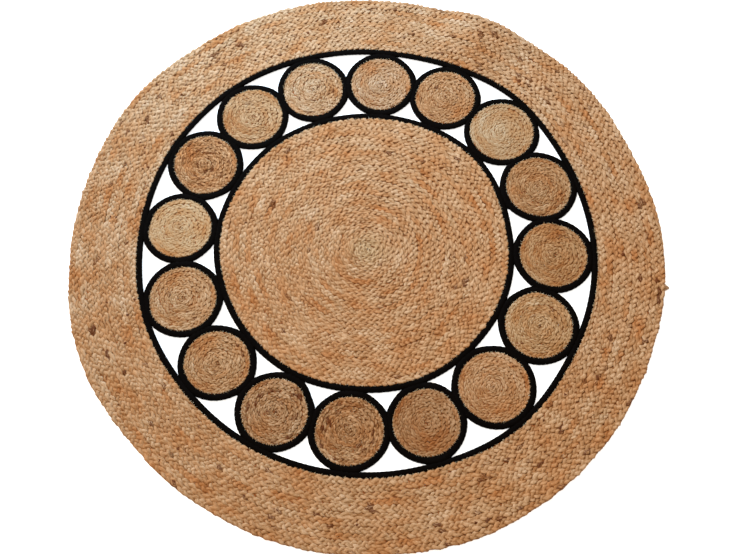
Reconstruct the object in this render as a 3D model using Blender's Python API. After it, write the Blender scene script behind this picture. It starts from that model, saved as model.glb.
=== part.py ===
"""Round jute rug, lying flat.

A coiled centre disc, a chain of sixteen small coiled discs and a wide coiled outer ring, all of
plaited jute. Black edging is sewn round every disc and round the inside of the outer ring, and
the pieces are sewn to each other where their edgings touch. Metres, +Z up, origin on the floor
under the middle of the rug. Azimuths are in degrees, anticlockwise from +X.
"""

import math
from collections import namedtuple

import bmesh
import bpy
import numpy as np

MM = 0.001
GAP = 0.4 * MM  # between two pieces that are sewn together

# A plait lies flat, and each turn of a coil is sewn to the turn before it.
PLAIT_HEIGHT = 8.0 * MM
SEAM_DEPTH = 2.2 * MM  # of the sewn seam between two turns, below their crests
RIM_DEPTH = 3.0 * MM  # of the last turn's shoulder, below its crest
UNDERSIDE_ROUNDING = 2.5 * MM  # of the outer rim, where it meets the floor

EDGING_HEIGHT = 7.5 * MM
EDGING_SHOULDER = 0.55  # height of the edging's sides, as a share of its crest
RING_EDGING = 11.0 * MM  # width of the edging inside the outer ring
CENTRE_EDGING = 11.5 * MM  # width of the edging round the centre disc
DISC_EDGING = 11.5 * MM  # width of a small disc's edging where it lies free
EDGING_CLEARANCE = 0.6 * MM  # that it keeps from its neighbours beside the places where it is sewn
EDGING_REACH = 30.0 * MM  # farther from its coil than any edging comes

RING_TURNS = 11
CENTRE_TURNS = 22  # outside the knob in the middle
CENTRE_KNOB = 18.0 * MM  # radius of the tight start of the centre coil
DISC_TURNS = 6
DISC_KNOB = 13.0 * MM
COIL_STEP = 4.0 * MM  # a small coil is this much wider where its plait ends
COIL_END = 25.0  # degrees over which the end of the plait tapers away

STEPS_PER_DISC = 4  # facets of the outer ring for each small disc beside it
CENTRE_STEPS_PER_DISC = 2
DISC_STEPS = 16

# A fold of the outer ring stands off the floor, steeper on one side than on the other.
BUCKLE_AZIMUTH = 67.0
BUCKLE_HEIGHT = 14.0 * MM
BUCKLE_BEFORE = 15.0  # degrees from the crest to the flat, clockwise of it
BUCKLE_AFTER = 10.0  # and anticlockwise of it
BUCKLE_START = 462.0 * MM  # distance from the middle where the fold leaves the floor
BUCKLE_FULL = 540.0 * MM

# The end of the outer ring's plait, tucked under its last turn, shows as a short tuft.
TUFT_AZIMUTH = 352.5
TUFT_LENGTH = 10.0 * MM
TUFT_WIDTH = 11.0 * MM
TUFT_HEIGHT = 5.0 * MM
TUFT_SEARCH = 40.0 * MM  # the rim is felt for this far to each side of the tuft

OUTLINE_EASE = 7  # degrees over which the straight runs between an outline's rows are rounded

# azimuth, distance in mm from the middle to the outer rim of the rug
RUG_RIM = (
    (0, 602), (10, 601), (22, 596), (34, 600), (45, 608), (56, 603), (66, 602),
    (73, 593), (84, 594), (100, 598), (118, 601), (134, 600), (143, 608), (152, 605),
    (163, 600), (180, 599), (191, 600), (200, 608), (209, 602), (220, 595), (235, 597),
    (255, 601), (270, 601), (280, 601), (291, 606), (305, 602), (322, 600), (337, 595),
    (346, 598),
)

# azimuth, distance in mm from the middle to the inside of the outer ring's plait
RING_HOLE = (
    (0, 467), (10, 466), (30, 467), (42, 475), (51, 481), (60, 475), (70, 471), (80, 468),
    (90, 470), (110, 472), (128, 476), (140, 473), (150, 473), (165, 469), (180, 466),
    (200, 468), (210, 464), (222, 461), (240, 462), (275, 461), (290, 461), (304, 467),
    (312, 468), (330, 461), (345, 465),
)

# azimuth, distance in mm from the middle to the rim of the centre coil
CENTRE_RIM = (
    (0, 285), (12, 285), (20, 289), (30, 296), (45, 303), (60, 302), (75, 300), (110, 300),
    (130, 302), (150, 299), (180, 299), (195, 293), (210, 291), (225, 289), (240, 289),
    (255, 285), (270, 282), (285, 285), (300, 284), (320, 281), (340, 284),
)

# azimuth and distance in mm of the disc's own middle, radius of its coil in mm, azimuth where
# its plait ends, colour of its jute
DISCS = (
    (-0.3, 378.0, 68.0, 100, "#9E734D"),
    (23.0, 381.0, 66.5, 295, "#A17954"),
    (44.7, 393.5, 66.5, 160, "#B2906D"),
    (65.8, 390.0, 62.5, 185, "#AE8763"),
    (86.9, 383.5, 62.5, 355, "#B49170"),
    (108.6, 389.0, 63.5, 220, "#BA9A7A"),
    (129.8, 388.0, 63.5, 45, "#B69471"),
    (151.6, 388.5, 65.5, 255, "#A87C57"),
    (173.9, 384.0, 63.5, 200, "#BA9874"),
    (196.9, 381.5, 66.5, 215, "#AB835F"),
    (220.1, 377.0, 63.5, 325, "#A07753"),
    (243.3, 378.0, 64.5, 50, "#98714F"),
    (265.9, 371.0, 66.0, 200, "#976C48"),
    (289.0, 373.0, 65.0, 65, "#986C48"),
    (311.9, 374.0, 69.5, 270, "#A27651"),
    (336.0, 375.5, 67.0, 90, "#A67E59"),
)

RING_JUTE = "#B58A65"
CENTRE_JUTE = "#B88B63"
EDGING_BLACK = "#14100D"
JUTE_ROUGHNESS = 0.92
EDGING_ROUGHNESS = 0.88

Disc = namedtuple("Disc", "azimuth x y coil end colour")


def polar(azimuth, distance):
    """x and y of a point, or of an array of points."""
    return distance * np.cos(np.radians(azimuth)), distance * np.sin(np.radians(azimuth))


def outline(rows):
    """The distance from the middle as a function of azimuth, read from a table's rows and
    rounded off where its straight runs meet."""
    azimuths, distances = np.array(rows, float).T
    every = np.arange(360)
    reach = range(-OUTLINE_EASE, OUTLINE_EASE + 1)
    eased = np.mean(
        [np.interp(every + step, azimuths, distances, period=360) for step in reach], axis=0
    )
    return lambda azimuth: np.interp(azimuth, every, eased, period=360) * MM


rug_rim = outline(RUG_RIM)
ring_hole = outline(RING_HOLE)
centre_rim = outline(CENTRE_RIM)


def centre_reach(azimuth):
    """The outside of the centre disc's edging."""
    return centre_rim(azimuth) + GAP + CENTRE_EDGING


def hole_reach(azimuth):
    """The inside of the outer ring's edging."""
    return ring_hole(azimuth) - GAP - RING_EDGING


def placed(azimuth, distance, coil, end, colour):
    """A small disc from its row of the table."""
    x, y = polar(azimuth, distance * MM)
    return Disc(azimuth, float(x), float(y), coil * MM, end, colour)


discs = [placed(*row) for row in DISCS]
disc_azimuths = np.array([disc.azimuth for disc in discs])


def room(disc, neighbours, azimuth):
    """How far a disc may reach along an azimuth from its own middle before it comes to the line
    halfway to one of its neighbours, or to the edging of the centre or of the outer ring."""
    reach = np.arange(disc.coil, disc.coil + EDGING_REACH, 0.05 * MM)
    x, y = polar(azimuth, reach)
    clear = np.ones(len(reach), bool)
    for other in neighbours:
        to_x, to_y = other.x - disc.x, other.y - disc.y
        apart = math.hypot(to_x, to_y)
        halfway = (apart + disc.coil - other.coil) / 2
        clear &= (x * to_x + y * to_y) / apart < halfway - GAP / 2
    from_middle = np.hypot(disc.x + x, disc.y + y)
    around = np.degrees(np.arctan2(disc.y + y, disc.x + x))
    clear &= from_middle > centre_reach(around) + GAP
    clear &= from_middle < hole_reach(around) - GAP
    return float(reach[clear][-1])


def buckle(x, y):
    """How far the underside lies above the floor: a fold across the outer ring, a cosine arch
    from flat to flat that grows from the hole outwards."""
    from_crest = (math.degrees(math.atan2(y, x)) - BUCKLE_AZIMUTH + 180) % 360 - 180
    width = BUCKLE_AFTER if from_crest > 0 else BUCKLE_BEFORE
    if abs(from_crest) >= width:
        return 0.0
    arch = math.cos(math.pi / 2 * from_crest / width) ** 2
    outward = (math.hypot(x, y) - BUCKLE_START) / (BUCKLE_FULL - BUCKLE_START)
    outward = min(max(outward, 0.0), 1.0)
    return BUCKLE_HEIGHT * arch * outward**2 * (3 - 2 * outward)


def turned_shell(section, hub, steps):
    """The section's (across, height) points turned about the axis, `hub` out from it. A section
    with a hub of 0 starts and ends on the axis, and any other closes on itself."""
    shell = bmesh.new()
    points = [shell.verts.new((hub + across, 0, height)) for across, height in section]
    ends = points[1:] + points[:1] if hub else points[1:]
    runs = [shell.edges.new(pair) for pair in zip(points, ends)]
    bmesh.ops.spin(
        shell,
        geom=points + runs,
        cent=(0, 0, 0),
        axis=(0, 0, 1),
        angle=math.tau,
        steps=steps,
        use_merge=True,
    )
    bmesh.ops.remove_doubles(shell, verts=shell.verts, dist=1e-6)
    bmesh.ops.recalc_face_normals(shell, faces=shell.faces)
    return shell


def add_piece(name, shell, hub, place, material):
    """Makes a turned shell an object, its round outline drawn out to the real one: `place` takes
    an azimuth, the share of the way across and a height, and gives the point."""
    for vert in shell.verts:
        azimuth = math.degrees(math.atan2(vert.co.y, vert.co.x)) % 360
        across = math.hypot(vert.co.x, vert.co.y) - hub
        vert.co = place(azimuth, across, vert.co.z)
    mesh = bpy.data.meshes.new(name)
    shell.to_mesh(mesh)
    shell.free()
    mesh.shade_smooth()
    mesh.set_sharp_from_angle(angle=math.radians(50))
    mesh.materials.append(material)
    piece = bpy.data.objects.new(name, mesh)
    piece.parent = rug
    parts.objects.link(piece)
    return piece


def ribs(turns, start):
    """Crest and seam of each turn of plait, from `start` to 1 across, but for the last
    turn's outer shoulder."""
    pitch = (1 - start) / turns
    points = []
    for turn in range(turns):
        points.append((start + turn * pitch, PLAIT_HEIGHT - SEAM_DEPTH))
        points.append((start + (turn + 0.5) * pitch, PLAIT_HEIGHT))
    return points


def coil_section(turns, knob):
    """A coiled disc from the top of its middle, over its ribs and rim, to the floor."""
    top = [(0, PLAIT_HEIGHT)] + ribs(turns, knob)
    return top + [(1, PLAIT_HEIGHT - RIM_DEPTH), (1, 0), (0, 0)]


def ring_section(turns, width):
    """The outer ring: an upright inner wall, ribs, and an outer rim rounded underneath."""
    top = [(0, PLAIT_HEIGHT - RIM_DEPTH)] + ribs(turns, 0)[1:]
    undercut = UNDERSIDE_ROUNDING / width
    outside = [(1, PLAIT_HEIGHT - RIM_DEPTH), (1, UNDERSIDE_ROUNDING), (1 - undercut, 0)]
    return top + outside + [(0, 0)]


def edging_section():
    """A cord with a flat foot, upright sides and a ridged back."""
    shoulder = EDGING_HEIGHT * EDGING_SHOULDER
    return [(0, 0), (0, shoulder), (0.5, EDGING_HEIGHT), (1, shoulder), (1, 0)]


def between(inner, outer, turn_to_azimuth):
    """A `place` for pieces about the middle: across runs from one outline to another."""

    def place(turn, across, height):
        azimuth = turn_to_azimuth(turn)
        distance = inner(azimuth) + across * (outer(azimuth) - inner(azimuth))
        x, y = polar(azimuth, distance)
        return float(x), float(y), height + buckle(float(x), float(y))

    return place


def facing_discs(turn):
    """Turns even steps into azimuths at which a facet's corner meets every small disc."""
    even = np.arange(len(discs) + 1) * 360 / len(discs)
    return np.interp(turn, even, np.append(disc_azimuths, disc_azimuths[0] + 360))


def coil_rim(disc):
    """The rim of a small coil as a function of azimuth about its own middle. The plait winds
    outwards clockwise, so past its end the rim draws in steadily until it steps out again."""

    def rim(azimuth):
        past_end = (azimuth - disc.end) % 360
        drawn_in = past_end / (360 - COIL_END)
        stepping_out = (360 - past_end) / COIL_END
        return disc.coil + COIL_STEP * (0.5 - min(drawn_in, stepping_out))

    return rim


def facing_neighbours(disc, before, after):
    """Turns even steps into azimuths about the disc's own middle at which corners meet the
    outer ring, the next disc, the centre and the disc before it."""
    to_after = math.degrees(math.atan2(after.y - disc.y, after.x - disc.x))
    to_before = math.degrees(math.atan2(before.y - disc.y, before.x - disc.x))
    turns = np.array([0, 90, 180, 270, 360])
    ahead = (to_after - disc.azimuth) % 360
    behind = (to_before - disc.azimuth) % 360
    azimuths = disc.azimuth + np.array([0, ahead, 180, behind, 360])
    return lambda turn: float(np.interp(turn, turns, azimuths))


def linear(hex_colour):
    """Linear red, green and blue of an sRGB hex colour."""
    channels = [int(hex_colour[i : i + 2], 16) / 255 for i in (1, 3, 5)]
    return [c / 12.92 if c <= 0.04045 else ((c + 0.055) / 1.055) ** 2.4 for c in channels]


def plain_material(name, hex_colour, roughness):
    material = bpy.data.materials.new(name)
    material.use_nodes = True
    shader = material.node_tree.nodes["Principled BSDF"]
    shader.inputs["Base Color"].default_value = (*linear(hex_colour), 1)
    shader.inputs["Roughness"].default_value = roughness
    shader.inputs["Metallic"].default_value = 0.0
    material.diffuse_color = (*linear(hex_colour), 1)
    return material


def jute(name, hex_colour):
    return plain_material(name, hex_colour, JUTE_ROUGHNESS)


def add_centre():
    """The centre coil and the edging sewn round it."""
    steps = CENTRE_STEPS_PER_DISC * len(discs)
    middle_to_rim = between(lambda azimuth: 0.0, centre_rim, facing_discs)
    section = coil_section(CENTRE_TURNS, CENTRE_KNOB / centre_rim(0))
    coil = turned_shell(section, 0, steps)
    add_piece("centre_coil", coil, 0, middle_to_rim, jute("centre_jute", CENTRE_JUTE))
    round_rim = between(lambda azimuth: centre_rim(azimuth) + GAP, centre_reach, facing_discs)
    edging = turned_shell(edging_section(), 1, steps)
    add_piece("centre_edging", edging, 1, round_rim, black)


def add_disc(number, disc, before, after):
    """A small coil and the edging sewn round it, placed about the disc's own middle. The edging
    meets its four neighbours, and has its own width in between."""
    rim = coil_rim(disc)
    facing = facing_neighbours(disc, before, after)

    def outside(turn):
        most = room(disc, (before, after), facing(turn))
        if round(turn) % 90 == 0:
            return most
        return min(rim(facing(turn)) + GAP + DISC_EDGING, most - EDGING_CLEARANCE)

    def in_coil(turn, across, height):
        return (*polar(facing(turn), across * rim(facing(turn))), height)

    def in_edging(turn, across, height):
        inside = rim(facing(turn)) + GAP
        return (*polar(facing(turn), inside + across * (outside(turn) - inside)), height)

    material = jute(f"disc_{number:02d}_jute", disc.colour)
    section = coil_section(DISC_TURNS, DISC_KNOB / disc.coil)
    shell = turned_shell(section, 0, DISC_STEPS)
    coil = add_piece(f"disc_{number:02d}_coil", shell, 0, in_coil, material)
    shell = turned_shell(edging_section(), 1, DISC_STEPS)
    edging = add_piece(f"disc_{number:02d}_edging", shell, 1, in_edging, black)
    coil.location = edging.location = (disc.x, disc.y, 0)


def add_outer_ring():
    """The wide outer coil and the edging sewn round the inside of it."""
    steps = STEPS_PER_DISC * len(discs)
    in_hole = between(hole_reach, lambda azimuth: ring_hole(azimuth) - GAP, facing_discs)
    edging = turned_shell(edging_section(), 1, steps)
    add_piece("ring_edging", edging, 1, in_hole, black)
    hole_to_rim = between(ring_hole, rug_rim, facing_discs)
    width = float(rug_rim(0) - ring_hole(0))
    ring = turned_shell(ring_section(RING_TURNS, width), 1, steps)
    return add_piece("outer_ring", ring, 1, hole_to_rim, jute("ring_jute", RING_JUTE))


def rim_of(ring, azimuth):
    """How far the outer ring's own faceted rim reaches at one azimuth."""
    out_x, out_y = polar(azimuth, 1.0)
    reaches = []
    for vert in ring.data.vertices:
        if abs(vert.co.y * out_x - vert.co.x * out_y) < TUFT_SEARCH:
            reaches.append(vert.co.x * out_x + vert.co.y * out_y)
    return max(reaches)


def add_tuft(ring):
    """The plait's frayed end: a flattened cone that points outwards from the rim."""
    shell = bmesh.new()
    bmesh.ops.create_cone(
        shell, cap_ends=True, segments=8, radius1=0.5, radius2=0.15, depth=1.0
    )
    out_x, out_y = polar(TUFT_AZIMUTH, 1.0)
    rim = rim_of(ring, TUFT_AZIMUTH)

    def place(azimuth, across, height):
        sideways, upwards = polar(azimuth, across)
        outwards = rim + GAP + (height + 0.5) * TUFT_LENGTH
        sideways *= TUFT_WIDTH
        level = PLAIT_HEIGHT / 2 + upwards * TUFT_HEIGHT
        return (
            outwards * out_x - sideways * out_y,
            outwards * out_y + sideways * out_x,
            level,
        )

    return add_piece("braid_end", shell, 0, place, ring.data.materials[0])


def centre_on_origin(pieces):
    """Moves the whole rug so that the origin lies under the middle of its outline."""
    corners = np.array([vert.co for piece in pieces for vert in piece.data.vertices])
    middle = (corners.min(axis=0) + corners.max(axis=0)) / 2
    rug.location = (-middle[0], -middle[1], 0)


for old in list(bpy.data.objects):
    bpy.data.objects.remove(old)

parts = bpy.data.collections.new("round_jute_rug")
bpy.context.scene.collection.children.link(parts)
rug = bpy.data.objects.new("rug", None)
parts.objects.link(rug)
black = plain_material("black_edging", EDGING_BLACK, EDGING_ROUGHNESS)

add_centre()
for index, this_disc in enumerate(discs):
    add_disc(index + 1, this_disc, discs[index - 1], discs[(index + 1) % len(discs)])
outer_ring = add_outer_ring()
tuft = add_tuft(outer_ring)
centre_on_origin([outer_ring, tuft])
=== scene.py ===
"""A round jute rug, lying flat: its plaits, cords, lashings and finishes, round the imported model.

Metres, +Z up, the origin on the floor under the middle of the rug. Azimuths are in degrees,
anticlockwise from +X. Every coil is wound outwards clockwise, seen from above.
"""

from collections import namedtuple

import bpy
import numpy as np
from mathutils import Matrix


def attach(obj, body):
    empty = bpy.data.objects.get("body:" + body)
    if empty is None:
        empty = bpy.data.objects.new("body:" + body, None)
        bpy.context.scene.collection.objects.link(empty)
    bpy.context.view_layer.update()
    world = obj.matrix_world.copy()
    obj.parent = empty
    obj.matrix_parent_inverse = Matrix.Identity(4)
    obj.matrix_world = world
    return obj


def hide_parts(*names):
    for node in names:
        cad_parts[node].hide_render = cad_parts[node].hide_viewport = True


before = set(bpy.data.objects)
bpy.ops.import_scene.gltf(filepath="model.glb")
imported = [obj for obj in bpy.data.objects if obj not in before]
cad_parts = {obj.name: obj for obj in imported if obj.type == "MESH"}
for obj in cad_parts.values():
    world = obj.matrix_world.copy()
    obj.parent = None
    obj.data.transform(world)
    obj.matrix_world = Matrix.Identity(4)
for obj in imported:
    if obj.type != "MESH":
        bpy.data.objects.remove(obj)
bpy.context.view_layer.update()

# ---------------------------------------------------------------------------------------------
# The centre disc: one flat plait of three strands of jute, coiled from a tight knot and sewn edge
# to edge. A sheet of jute scrim lies under it, a darker warm brown than the plait, and shows only
# between the strands, as painted shade.

MM = 0.001

PLAIT_ROW = 12.2 * MM  # width of one row of the thick plait
PLAIT_HEIGHT = 8.0 * MM
STRAND_BOXINESS = 2.6  # power of the section's curve, where 2 is an ellipse

# How a strand runs in a row of PLAIT_ROW: how far it swings from the middle line, how much
# fuller than a sine its curve is near the edges, how far it rises over the others and dips
# under them, its half width and half height as it crosses the middle and as it turns at an
# edge, and the slope of its back as it crosses.
Strand = namedtuple("Strand", "swing dwell climb half_widths half_heights lean")
JUTE_STRAND = Strand(
    4.0 * MM, 0.5, 1.6 * MM, (5.4 * MM, 3.1 * MM), (2.4 * MM, 2.2 * MM), 0.26
)
PLUMPNESS = 0.15  # spread of a strand's thickness along its length
PLUMP_LENGTH = 16 * MM
STRAY = 0.5 * MM  # spread of a strand's place in its row, sideways and up
STRAY_LENGTH = 9 * MM
HASTE = 0.25  # spread of how fast the strands go over and back
HASTE_LENGTH = 15 * MM
HASTE_LIMIT = 2  # times its spread
ROW_STRAY = 0.5 * MM  # spread of a whole row's place
ROW_STRAY_LENGTH = 70 * MM
FLOOR_CLEARANCE = 0.05 * MM
OVERHANG = 0.03  # share of a row's width that its strands reach past its edges
AXIS_REACH = 2 * MM  # within which a turned node's points count as its middle
CORNER_APART = 0.5  # degrees, the least between two corners of a turned node

Path = namedtuple("Path", "along x y out_x out_y width fullness")


def linear(hex_colour):
    """The linear colour of an sRGB hex value."""
    channels = np.array([int(hex_colour[i : i + 2], 16) for i in (1, 3, 5)]) / 255
    return np.where(channels <= 0.04045, channels / 12.92, ((channels + 0.055) / 1.055) ** 2.4)


def eased(share):
    """0 to 1 as the share goes from 0 to 1, level at both ends: 3 share² - 2 share³."""
    share = np.clip(share, 0, 1)
    return share * share * (3 - 2 * share)


def between(ends, share):
    """The value this share of the way from one end to the other."""
    return ends[0] + (ends[1] - ends[0]) * share


def wander(rng, places, spacing):
    """Smooth chance along a line: normal numbers every `spacing`, eased from one to the next."""
    step, share = np.divmod(places / spacing, 1)
    step = step.astype(int)
    numbers = rng.normal(size=step.max() + 2)
    return between((numbers[step], numbers[step + 1]), eased(share))


def node_points(name):
    """Every vertex of a node, a row each."""
    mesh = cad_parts[name].data
    points = np.empty(3 * len(mesh.vertices), np.float32)
    mesh.vertices.foreach_get("co", points)
    return points.reshape(-1, 3).astype(float)


def pole(name):
    """x and y of the point about which a coil's node was turned: the one off the floor where
    most of its triangles meet, each with a vertex of its own."""
    points = node_points(name).round(6)
    points, meeting = np.unique(points[points[:, 2] > MM], axis=0, return_counts=True)
    return points[np.argmax(meeting), :2]


def round_curve(azimuths, distances):
    """A smooth closed curve through these distances: between two corners a cubic, whose slope
    at each is that of its neighbours' chord."""
    corner = np.concatenate([azimuths[-2:] - 360, azimuths, azimuths[:2] + 360])
    reach = np.concatenate([distances[-2:], distances, distances[:2]])
    slope = np.gradient(reach, corner)

    def distance(azimuth):
        azimuth = (azimuth - azimuths[0]) % 360 + azimuths[0]
        i = np.clip(np.searchsorted(corner, azimuth, side="right") - 1, 0, len(corner) - 2)
        run = corner[i + 1] - corner[i]
        t = (azimuth - corner[i]) / run
        leaving = slope[i] * run * t * (1 - t) ** 2
        arriving = slope[i + 1] * run * t**2 * (1 - t)
        return between((reach[i], reach[i + 1]), eased(t)) + leaving - arriving

    return distance


def rims(name, middle):
    """How near its middle a turned node comes and how far from it it reaches, as smooth
    functions of azimuth through the node's corners."""
    x, y = (node_points(name)[:, :2] - middle).T
    distance = np.hypot(x, y)
    off_axis = distance > AXIS_REACH
    azimuth = np.degrees(np.arctan2(y, x))[off_axis]
    azimuth = (azimuth + 1) % 360 - 1  # from -1, which cuts no corner at azimuth 0 in two
    order = np.argsort(azimuth)
    azimuth, distance = azimuth[order], distance[off_axis][order]
    corner = np.flatnonzero(np.diff(azimuth, prepend=-90) > CORNER_APART)
    near = round_curve(azimuth[corner], np.minimum.reduceat(distance, corner))
    far = round_curve(azimuth[corner], np.maximum.reduceat(distance, corner))
    return near, far


def around(middle, azimuth, distance):
    """x and y of places at azimuths and distances from a middle."""
    angle = np.radians(azimuth)
    return middle[0] + distance * np.cos(angle), middle[1] + distance * np.sin(angle)


def path_of(middle, azimuth, distance, width, fullness):
    """A clockwise path from its points about a middle, with its length so far, the level
    direction outwards across it, the width of the row laid on it and how full the row is."""
    x, y = around(middle, azimuth, distance)
    step_x, step_y = np.gradient(x), np.gradient(y)
    step = np.hypot(step_x, step_y)
    along = np.concatenate([[0], np.cumsum(np.hypot(np.diff(x), np.diff(y)))])
    ones = np.ones(len(x))
    return Path(along, x, y, -step_y / step, step_x / step, width * ones, fullness * ones)


COIL_START = 0.15  # turns from the middle, where the first strands show
COIL_STEP = 0.004  # turns from one point of a coil's middle line to the next
KNOT_TIGHTNESS = 0.35  # share of a row that the tightly pulled first turns lose
TAPER_WIDTH = 0.15  # least share of a row's width and
TAPER_HEIGHT = 0.5  # of its height, where the plait tapers away


def coil_path(middle, edge, row, growth, plait_end, taper):
    """The middle line of a plait coiled from a knot out to `edge`, which ends at an azimuth and
    tapers away over the next `taper` degrees.

    The first row has width `row`, and rows gain `growth` of their distance from the middle, so
    turn t lies row (exp(growth t) - 1) / growth from it, less what the tightly pulled first
    turns lose, and all are stretched by the share that makes the last one meet the edge.
    """
    lost = KNOT_TIGHTNESS * row

    def rim(azimuth):
        return edge(azimuth) - OVERHANG * row

    def unstretched(turn):
        return row * np.expm1(growth * turn) / growth - lost * (1 - np.exp(-turn))

    last_turn = np.log1p(growth * (rim(plait_end) + lost) / row) / growth - 0.5
    last_row = row + growth * rim(plait_end)
    turn = np.arange(COIL_START, last_turn + taper / 360, COIL_STEP)
    past_end = turn - last_turn
    azimuth = plait_end - 360 * past_end
    since_end = past_end % 1  # turns since the azimuth of the plait's end
    tapered = 1 - eased(since_end * 360 / taper)
    outermost = unstretched(last_turn - 0.5 + since_end) + last_row * tapered
    stretch = rim(azimuth) / outermost
    distance = unstretched(turn)
    width = row + growth * distance - lost * np.exp(-turn)
    beyond = past_end > 0
    distance[beyond] = outermost[beyond] - last_row * tapered[beyond] / 2
    width[beyond] *= np.maximum(tapered[beyond], TAPER_WIDTH)
    share = distance / outermost
    distance = distance * (1 + (stretch - 1) * share)
    fullness = np.where(beyond, between((TAPER_HEIGHT, 1), tapered), 1)
    return path_of(middle, azimuth, distance, width, fullness)


def section_of(corners_on_top):
    """Corners of a strand's section, from the side away from the middle over the top, and one
    below, as shares of its half width and half height: |across|^n + |up|^n = 1."""
    angle = np.append(np.linspace(0, np.pi, corners_on_top), 1.5 * np.pi)
    across, up = np.cos(angle), np.sin(angle)
    return tuple(np.sign(side) * np.abs(side) ** (2 / STRAND_BOXINESS) for side in (across, up))


# A kind of plait: its height, the length in which a strand goes over and back, how many rings
# of corners that length gets, its strands' section, and how they run.
Plait = namedtuple("Plait", "height period rings section strand")
THICK_PLAIT = Plait(PLAIT_HEIGHT, 40 * MM, 10, section_of(5), JUTE_STRAND)


def plait(path, kind, rng, lift, closed):
    """Three strands plaited flat along a path: points (strand, ring, corner, xyz), each
    strand's turn at each ring, and the length along the path. A closed plait is even, so that
    its ends meet.

    With t a strand's turn, a third of a turn after the one before it, its middle line lies
    swing sin t (1 + dwell cos² t) across the row and -climb sin 2t up. Its section is wide
    where it crosses the middle and narrow at the edges, and leans by -lean cos t.
    """
    strand, section = kind.strand, kind.section
    haste = np.clip(wander(rng, path.along[1:], HASTE_LENGTH), -HASTE_LIMIT, HASTE_LIMIT)
    beats = np.cumsum(np.diff(path.along) / kind.period * (1 + HASTE * haste))
    beats = np.concatenate([[0], beats])
    if closed:
        beats *= round(beats[-1]) / beats[-1]
    count = round(beats[-1] * kind.rings) if closed else int(beats[-1] * kind.rings) + 1
    beat = np.arange(count) / kind.rings
    along = np.interp(beat, beats, path.along)
    here = Path(*(np.interp(along, path.along, column) for column in path))
    turn = 2 * np.pi * (beat + np.arange(3)[:, None] / 3)
    sine, cosine = np.sin(turn)[..., None], np.cos(turn)[..., None]
    uneven = 0 if closed else 1
    plump = np.stack([wander(rng, along, PLUMP_LENGTH) for _ in range(3)])
    plump = 1 + uneven * PLUMPNESS * plump
    stray = uneven * STRAY * np.stack([wander(rng, along, STRAY_LENGTH) for _ in range(6)])
    row_stray = uneven * ROW_STRAY * wander(rng, along, ROW_STRAY_LENGTH)
    at_edge = sine**2
    sideways = between(strand.half_widths, at_edge) * plump[..., None] * section[0]
    across = strand.swing * sine * (1 + strand.dwell * cosine**2) + sideways
    up = -strand.climb * 2 * sine * cosine - strand.lean * cosine * sideways
    up = up + between(strand.half_heights, at_edge) * plump[..., None] * section[1]
    up = up + stray[3:, :, None]
    across = (across + (stray[:3] + row_stray)[..., None]) * (here.width / PLAIT_ROW)[:, None]
    up = kind.height * (0.5 + up / PLAIT_HEIGHT * here.fullness[:, None])
    up = np.maximum(up, FLOOR_CLEARANCE)
    x = here.x[:, None] + here.out_x[:, None] * across
    y = here.y[:, None] + here.out_y[:, None] * across
    if lift is not None:
        up = up + lift(x, y)
    return np.stack([x, y, up], axis=-1), turn, along


def tubes(name, points, closed=False):
    """A mesh of tubes, from points (tube, ring, corner, xyz): a face between each two corners
    of a ring and the same two of the next, and a flat cap on each open end."""
    corners = points.shape[2]
    index = np.arange(points[..., 0].size).reshape(points.shape[:3])
    here = index if closed else index[:, :-1]
    after = np.roll(index, -1, axis=1) if closed else index[:, 1:]
    sides = [here, np.roll(here, -1, axis=2), np.roll(after, -1, axis=2), after]
    quads = np.stack(sides, axis=-1).reshape(-1, 4)
    caps = np.empty((0, corners), int)
    if not closed:
        caps = np.concatenate([index[:, 0, ::-1], index[:, -1]])
    starts = np.concatenate(
        [4 * np.arange(len(quads)), quads.size + corners * np.arange(len(caps))]
    )
    loops = np.concatenate([quads.ravel(), caps.ravel()])
    mesh = bpy.data.meshes.new(name)
    mesh.vertices.add(index.size)
    mesh.vertices.foreach_set("co", points.astype(np.float32).ravel())
    mesh.loops.add(len(loops))
    mesh.loops.foreach_set("vertex_index", loops.astype(np.int32))
    mesh.polygons.add(len(starts))
    mesh.polygons.foreach_set("loop_start", starts.astype(np.int32))
    mesh.polygons.foreach_set("use_smooth", np.arange(len(starts)) < len(quads))
    mesh.update(calc_edges=True)
    mesh.validate()
    piece = bpy.data.objects.new(name, mesh)
    bpy.context.scene.collection.objects.link(piece)
    return piece


def fit(piece, material, replaced=None):
    """Gives a piece its finish, and lets it ride on the rug and stand for a node, if any."""
    piece.data.materials.append(material)
    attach(piece, "root")
    if replaced:
        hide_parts(replaced)


def add_corner_map(piece, name, quad_u, quad_v, cap_u, cap_v):
    """A UV map from (quad, 4) and (cap, corner) coordinates."""
    u = np.concatenate([quad_u.ravel(), cap_u.ravel()])
    v = np.concatenate([quad_v.ravel(), cap_v.ravel()])
    layer = piece.data.uv_layers.new(name=name, do_init=False)
    layer.uv.foreach_set("vector", np.stack([u, v], axis=-1).astype(np.float32).ravel())


def round_corners(count):
    """Angles of corners spread evenly round a section."""
    return 2 * np.pi * np.arange(count) / count


STRAND_GIRTH = 22 * MM
STRAND_APART = 41.0  # metres between the strands' places on the pattern that follows them
CAP_RADIUS = 10 * MM  # of a strand's end on that pattern
LANE_SPACE = 1.15  # room that a lane of the baked picture takes, as a share of its girth
LANE_MARGIN = 0.07  # of a lane's width, left free on each side
CAP_PLACE = 0.998  # where all strands' ends lie, in a corner of the baked picture
CAP_SHRINK = 0.1


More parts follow.
